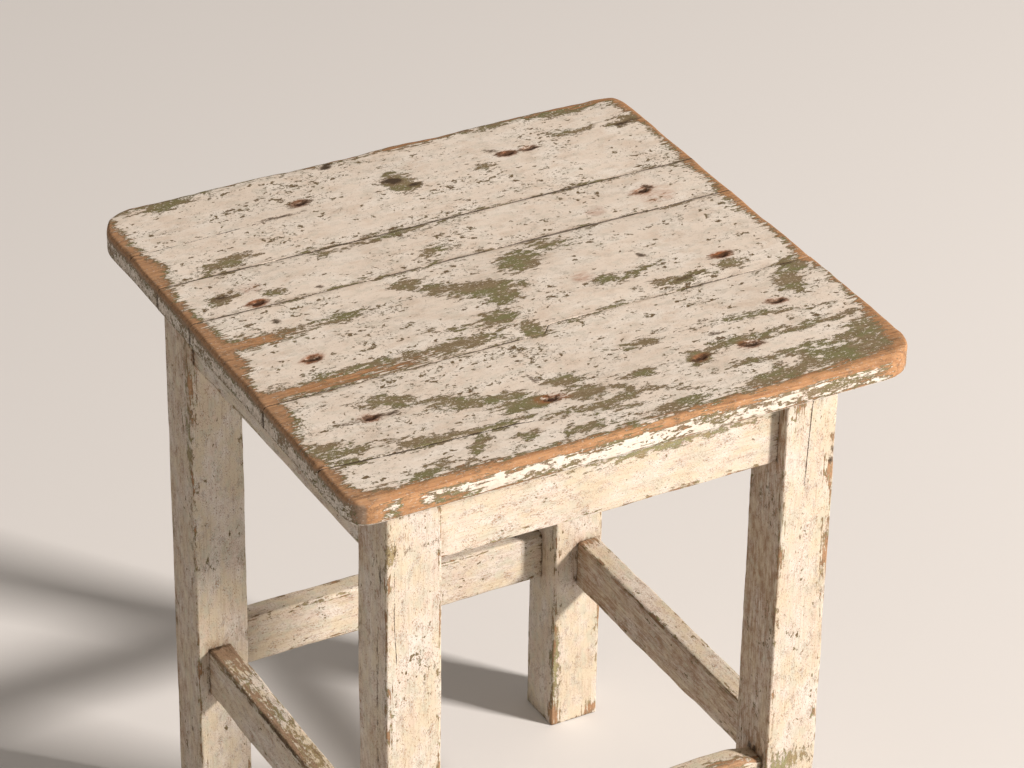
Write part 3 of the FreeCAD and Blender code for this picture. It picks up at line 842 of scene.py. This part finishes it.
LEG_NAMES = ("leg_front_left", "leg_front_right", "leg_back_right", "leg_back_left")
BAR_SIDES = ("front", "right", "back", "left")
FRAME_MARKS = {
    "leg_front_left": [
        mark("bare", -150, -163, 452, 16, 4, 10),
        mark("olive", -158, -163, 405, 3, 4, 6),
        mark("dark", -147, -163, 407, 11, 2, 0.3),
        mark("dark", -149, -163, 403, 0.7, 2, 1.0),
        mark("dark", -150, -163, 370, 0.8, 2, 1.0),
        mark("dark", -161.5, -155, 388, 3, 0.8, 7),
        mark("dark", -161.5, -151, 290, 3, 0.9, 26),
    ],
    "leg_front_right": [
        mark("bare", 128, -163, 446, 6, 3, 12),
        mark("bare", 161, -162, 374, 4, 3, 6),
        mark("bare", 161, -163, 312, 3, 3, 16),
        mark("olive", 138, -163, 151, 13, 3, 7),
        mark("dark", 138, -163, 331, 1.4, 2, 2),
        mark("dark", 158, -163, 384, 2, 2, 2),
        mark("dark", 160, -163, 393, 1.2, 2, 3),
    ],
    "leg_back_right": [
        mark("bare", 124, 124, 10, 5, 5, 8),
        mark("olive", 124, 124, 60, 3, 3, 30),
        mark("bare", 158, 124, 6, 6, 6, 4),
    ],
    "leg_back_left": [
        mark("dark", -161.5, 138, 85, 2, 2.4, 2.4),
        mark("olive", -161.5, 128, 330, 3, 1.5, 40),
    ],
    "apron_front": [
        mark("olive", 40, -155, 425, 50, 3, 3),
    ],
    "rail_left": [
        mark("bare", -151, -10, 159, 1.8, 130, 1.2),
        mark("olive", -144, -40, 159, 3.5, 60, 1.5),
        mark("bare", -146, 112, 159, 12, 18, 3),
        mark("olive", -151, 40, 158, 3, 80, 2),
        mark("dark", -152.5, 20, 157, 1.2, 60, 1.0),
        mark("dark", -146, 123, 157, 12, 2, 5),
    ],
    "rail_right": [
        mark("dark", 137, -10, 157, 1.6, 30, 1.6),
        mark("bare", 150, 122, 158, 9, 2, 3),
    ],
    "rail_back": [
        mark("olive", -60, 139, 158, 34, 2, 1.4),
    ],
    "rail_front": [
        mark("bare", 90, -158, 158, 34, 4, 4),
        mark("olive", 40, -156, 158, 60, 5, 3),
    ],
}


# How much browner the left face is, as painted shade on the side turned away from the key light, and how much
# more it is chipped; how grey the bare wood is, and long splits in the front faces.
LEFT_FACE_SHADE_AND_WEAR = {
    "leg_front_right": 0.55, "rail_right": 0.60, "leg_back_left": 0.35, "leg_front_left": 0.32,
    "rail_left": 0.32,
}
GREYED = {"rail_left": 0.80, "rail_right": 0.60}
SHAKES = {
    "leg_front_right": ((360, 372, 400, 425, 445, 468), (139.5, 139.0, 140.2, 141.5, 142.8, 144.0)),
    "leg_front_left": ((322, 330, 345, 360, 372), (-154.0, -154.3, -155.2, -155.8, -155.5)),
}


def arris_distance(points, low, high):
    """Distance of each point on a block's skin from the nearest edge: the second smallest of its distances to
    the six sides."""
    return np.sort(np.concatenate([points - low, high - points], axis=1), axis=1)[:, 1]


def outside_box(points, low, high):
    """Distance of each point from a box, 0 inside it."""
    return np.linalg.norm(np.maximum(np.maximum(low - points, points - high), 0), axis=1)


def touching(name):
    """Boxes of the bars that meet a leg, or of the legs that a bar meets."""
    if name in LEG_NAMES:
        return [box_of(f"{kind}_{side}") for kind in ("apron", "rail") for side in BAR_SIDES if side in name]
    return [box_of(leg) for leg in LEG_NAMES if name.split("_")[1] in leg]


def frame_facts(name, points, low, high, axis, seed):
    """What each point of a leg or bar carries: wear at its edges, dirt where it meets its neighbours, and
    painted shade on its left face.
    """
    shape = np.stack([points[:, axis], points[:, (axis + 1) % 3], points[:, (axis + 2) % 3]], axis=1)
    to_edge = arris_distance(points, low, high)
    marks = FRAME_MARKS.get(name, [])
    patch = ripple(points, 42, seed + 10)
    bare = -1.7 - to_edge * 0.9 + 1.1 * patch + 0.8 * ripple(points, 11, seed + 11)
    bare = np.maximum(np.where(to_edge < 6, bare, FAR), inside_marks(points, marks, "bare") + 0.6)
    olive = -6.6 + 1.4 * ripple(points, 55, seed + 12) + 1.6 * fade(to_edge, 6, 1)
    olive = np.maximum(olive, inside_marks(points, marks, "olive"))
    chips = 0.35 + 0.5 * ripple(points, 60, seed + 13)
    reach = np.min([outside_box(points, *box) for box in touching(name)], axis=0)
    dark = np.maximum(inside_marks(points, marks, "dark"), 0.2 - reach + 0.5 * ripple(points, 9, seed + 14))
    dark = np.maximum(dark, points[:, 2] - TOP_UNDER + 0.2)
    dark = np.maximum(dark, 0.4 - points[:, 2])
    end = fade(np.minimum(points[:, axis] - low[axis], high[axis] - points[:, axis]), 0.8, 0.1)
    flat = np.zeros(len(points))
    facing_left = points[:, 0] < low[0] + 1.2
    stain_and_shade = 0.04 + 0.05 * ripple(points, 70, seed + 15) + 0.35 * fade(reach, 10.0, 0.5)
    # The left faces, turned away from the key light, are browned as painted shade, and chipped a little more.
    stain_and_shade += facing_left * LEFT_FACE_SHADE_AND_WEAR.get(name, 0.10)
    chips += facing_left * LEFT_FACE_SHADE_AND_WEAR.get(name, 0.10) * 0.5
    crack, gap = flat + 20.0, flat - 1.0
    if name in SHAKES:
        crack = points[:, 0] - np.interp(points[:, 2], *SHAKES[name])
        start, full = SHAKES[name][0][:2]
        gap = 0.32 * fade(points[:, 2], start, full) * (0.9 + 0.3 * patch)
        gap *= fade(points[:, 2], SHAKES[name][0][-1] + 3, SHAKES[name][0][-1] - 6)
        gap = np.where((points[:, 1] < low[1] + 2) & (points[:, 2] > start), gap, -1.0)
    return {
        "grain": (shape + np.array([0.0, seed * 61.0, -seed * 37.0])) * 0.1,
        "bare": bare, "olive": olive, "chips": chips, "dark": dark, "rust": flat,
        "crack": crack, "gap": gap, "end": end, "grey": flat + GREYED.get(name, 0.40), "stain_and_shade": stain_and_shade,
    }


def make_timber(name, low, high, axis, radius, seed, dip=None):
    """A leg or bar along one axis: a block whose edges are rounded by a radius that swells and shrinks along
    them, with faces that wander a little from flat, as planed by hand."""
    lines = []
    for way in range(3):
        if way == axis:
            lines.append(graded(low[way], high[way], TIMBER_STEP, 0.6, 5.0))
        else:
            lines.append(graded(low[way], high[way], TIMBER_CROSS_STEP, 0.45, 5.0))
    points, quads = skin(*lines)
    to_low, to_high = (points - low).T, (high - points).T
    rounding = radius * (1 + 0.20 * ripple(points, 40, seed) + 0.06 * ripple(points, 12, seed + 1))
    rounding = np.clip(rounding, radius * 0.5, radius * 1.8)
    first, second = [way for way in range(3) if way != axis]
    pairs = [(first, second), (axis, first), (axis, second)]
    for one, other in pairs:
        size = rounding if axis not in (one, other) else np.full(len(points), min(radius, 1.2))
        for side_one in (to_low, to_high):
            for side_other in (to_low, to_high):
                new_one, new_other = soften(side_one[one], side_other[other], size)
                side_one[one], side_other[other] = new_one, new_other
    middle = (low + high) / 2
    bent = np.empty_like(points)
    for way in range(3):
        before = points[:, way]
        bent[:, way] = np.where(before < middle[way], low[way] + to_low[way], high[way] - to_high[way])
    for way in (first, second):
        outward = np.sign(bent[:, way] - middle[way]) * fade(np.abs(bent[:, way] - middle[way]), 2.0, 6.0)
        wander = 0.10 * ripple(bent, 90, seed + 3 + way) + 0.02 * ripple(bent, 14, seed + 5 + way) - 0.12
        bent[:, way] += outward * wander
    if dip is not None:
        bent = dip(bent)
    facts = frame_facts(name, bent, low, high, axis, seed)
    make_piece(name, bent, quads, "painted_frame", facts)


def shoulders(side):
    """Where a bar on a side starts and ends: the inner faces of its two legs, and a little into them."""
    axis = 0 if side in ("front", "back") else 1
    legs = [box_of(leg) for leg in LEG_NAMES if side in leg]
    starts = sorted((low[axis], high[axis]) for low, high in legs)
    return axis, starts[0][1] - 0.6, starts[1][0] + 0.6


def worn_down(bent):
    """The top of the front rail falls away over its last stretch, towards the right leg."""
    low, high = box_of("rail_front")
    near_leg = fade(bent[:, 0], 104.0, 124.0)
    upper = fade(bent[:, 2], (low[2] + high[2]) / 2, high[2])
    bent[:, 2] -= 3.6 * near_leg * upper
    return bent


for order, leg_name in enumerate(LEG_NAMES):
    leg_low, leg_high = box_of(leg_name)
    make_timber(leg_name, leg_low, leg_high, 2, 2.0, 100 + 20 * order)
for order, side_name in enumerate(BAR_SIDES):
    for kind_name, edge_radius in (("apron", 1.2), ("rail", 2.6)):
        bar = f"{kind_name}_{side_name}"
        bar_low, bar_high = box_of(bar)
        way_along, bar_start, bar_end = shoulders(side_name)
        bar_low[way_along] = bar_start
        bar_high[way_along] = bar_end
        bend = worn_down if bar == "rail_front" else None
        make_timber(bar, bar_low, bar_high, way_along, edge_radius, 300 + 40 * order + len(kind_name), bend)


# ---------------------------------------------------------------------------------------- nails

def make_nails(group):
    """A group of cut nails: one profile turned about each nail's upright line, with the head's rim and crown
    made uneven by a slow wave round it. Heads are flat ovals, and shanks taper to a point."""
    low, high = box_of(group)
    length = high[2] - low[2]
    heights = np.array([-0.05, -0.2, -0.5, -0.95, -1.15, -1.25, -2.0, -length * 0.5, -length + 5])
    radii = np.array([1.2, 2.1, HEAD_RADIUS, HEAD_RADIUS, 2.2] + [SHANK_RADIUS] * 4)
    heights, radii = heights[:, None], radii[:, None]
    angle = np.arange(NAIL_TURNS) * 2 * math.pi / NAIL_TURNS
    points, faces, start = [], [], 0
    for order, (x, y, _) in enumerate(NAILS[group]):
        draw = np.random.default_rng(700 + len(group) * 10 + order)
        slow = np.sin(angle * 3 + draw.uniform(0, 6))
        quick = np.sin(angle * 7 + draw.uniform(0, 6))
        tilt = draw.uniform(-0.06, 0.06, 2)
        ring = radii * np.where(radii > SHANK_RADIUS, 1 + 0.07 * slow + 0.04 * quick, 1.0)
        along, across = ring * np.cos(angle), ring * np.sin(angle)
        rise = heights + tilt[0] * along + tilt[1] * across
        top = high[2] - HEAD_SUNK
        body = np.stack([x + along * HEAD_STRETCH[0], y + across * HEAD_STRETCH[1], top + rise], axis=-1)
        body = body.reshape(-1, 3)
        points += [body, np.array([[x, y, top], [x, y, low[2]]])]
        rows = np.arange(len(body)).reshape(-1, NAIL_TURNS) + start
        after = np.roll(rows, -1, axis=1)
        crown, tip = np.full((2, NAIL_TURNS), start + len(body)) + [[0], [1]]
        faces += np.stack([rows[:-1], rows[1:], after[1:], after[:-1]], axis=-1).reshape(-1, 4).tolist()
        faces += np.stack([crown, rows[0], after[0]], axis=1).tolist()
        faces += np.stack([tip, after[-1], rows[-1]], axis=1).tolist()
        start += len(body) + 2
    mesh = bpy.data.meshes.new(group)
    mesh.from_pydata(np.concatenate(points) * SCALE, [], faces)
    set_out(group, mesh, "rusty_iron")


for group_name in NAIL_GROUPS:
    make_nails(group_name)


# ---------------------------------------------------------------------------------------- stage

def make_floor():
    """A plain pale floor, wide enough to fill the view, with its reach in metres."""
    mesh = bpy.data.meshes.new("floor")
    reach = 30.0
    corners = [(-reach, -reach, 0), (reach, -reach, 0), (reach, reach, 0), (-reach, reach, 0)]
    mesh.from_pydata(corners, [], [(0, 1, 2, 3)])
    floor = bpy.data.objects.new("floor", mesh)
    bpy.context.scene.collection.objects.link(floor)
    material, tree = new_material("pale_floor")
    finish_material(tree, {"Base Color": colour(0.755, 0.765, 0.785), "Roughness": 0.8})
    mesh.materials.append(material)


def aimed(direction):
    """Turn that points an object's -Z along a direction, with its Y up."""
    return Vector(direction).to_track_quat("-Z", "Y")


def make_light(name, place, aim, size, power, tint):
    """A square soft light at a place, aimed at a point."""
    lamp = bpy.data.lights.new(name, "AREA")
    lamp.shape = "SQUARE"
    lamp.size = size
    lamp.energy = power
    lamp.color = tint
    light = bpy.data.objects.new(name, lamp)
    light.location = place
    light.rotation_mode = "QUATERNION"
    light.rotation_quaternion = aimed(Vector(aim) - Vector(place))
    bpy.context.scene.collection.objects.link(light)


def make_camera(azimuth, elevation, roll, distance, aim, lens):
    """A camera that looks at a point from an azimuth, 0 looking along +Y, and an elevation, in degrees."""
    turn, climb = math.radians(azimuth), math.radians(elevation)
    back = Vector((
        math.sin(turn) * math.cos(climb),
        -math.cos(turn) * math.cos(climb),
        math.sin(climb),
    ))
    data = bpy.data.cameras.new("camera")
    data.sensor_width = 36.0
    data.lens = lens
    data.clip_start = 0.05
    data.clip_end = 60.0
    camera = bpy.data.objects.new("camera", data)
    camera.location = Vector(aim) + back * distance
    camera.rotation_mode = "QUATERNION"
    camera.rotation_quaternion = aimed(-back) @ Quaternion((0, 0, 1), math.radians(roll))
    bpy.context.scene.collection.objects.link(camera)
    bpy.context.scene.camera = camera


def make_world(tint, strength):
    """An even pale surround that fills the shadows."""
    world = bpy.data.worlds.new("surround")
    world.use_nodes = True
    tree = world.node_tree
    tree.nodes.clear()
    glow = Wire.add(tree, "ShaderNodeBackground", None, {"Color": colour(*tint), "Strength": strength})
    Wire.add(tree, "ShaderNodeOutputWorld", None, {"Surface": glow})
    bpy.context.scene.world = world


bpy.context.scene.view_settings.view_transform = "Standard"
make_floor()
make_light("key", (4.3, -4.7, 3.55), aim=(0.0, 0.0, 0.35), size=0.9, power=850.0, tint=(1.0, 0.895, 0.80))
make_light("fill", (-2.4, -0.6, 2.4), aim=(0.0, 0.0, 0.3), size=2.2, power=9.0, tint=(1.0, 0.92, 0.83))
make_world(tint=(1.0, 0.875, 0.755), strength=0.252)
make_camera(
    azimuth=-29.2, elevation=30.9, roll=0.98, distance=2.4736, aim=(0.0149, 0.0005, 0.3928), lens=132.6,
)
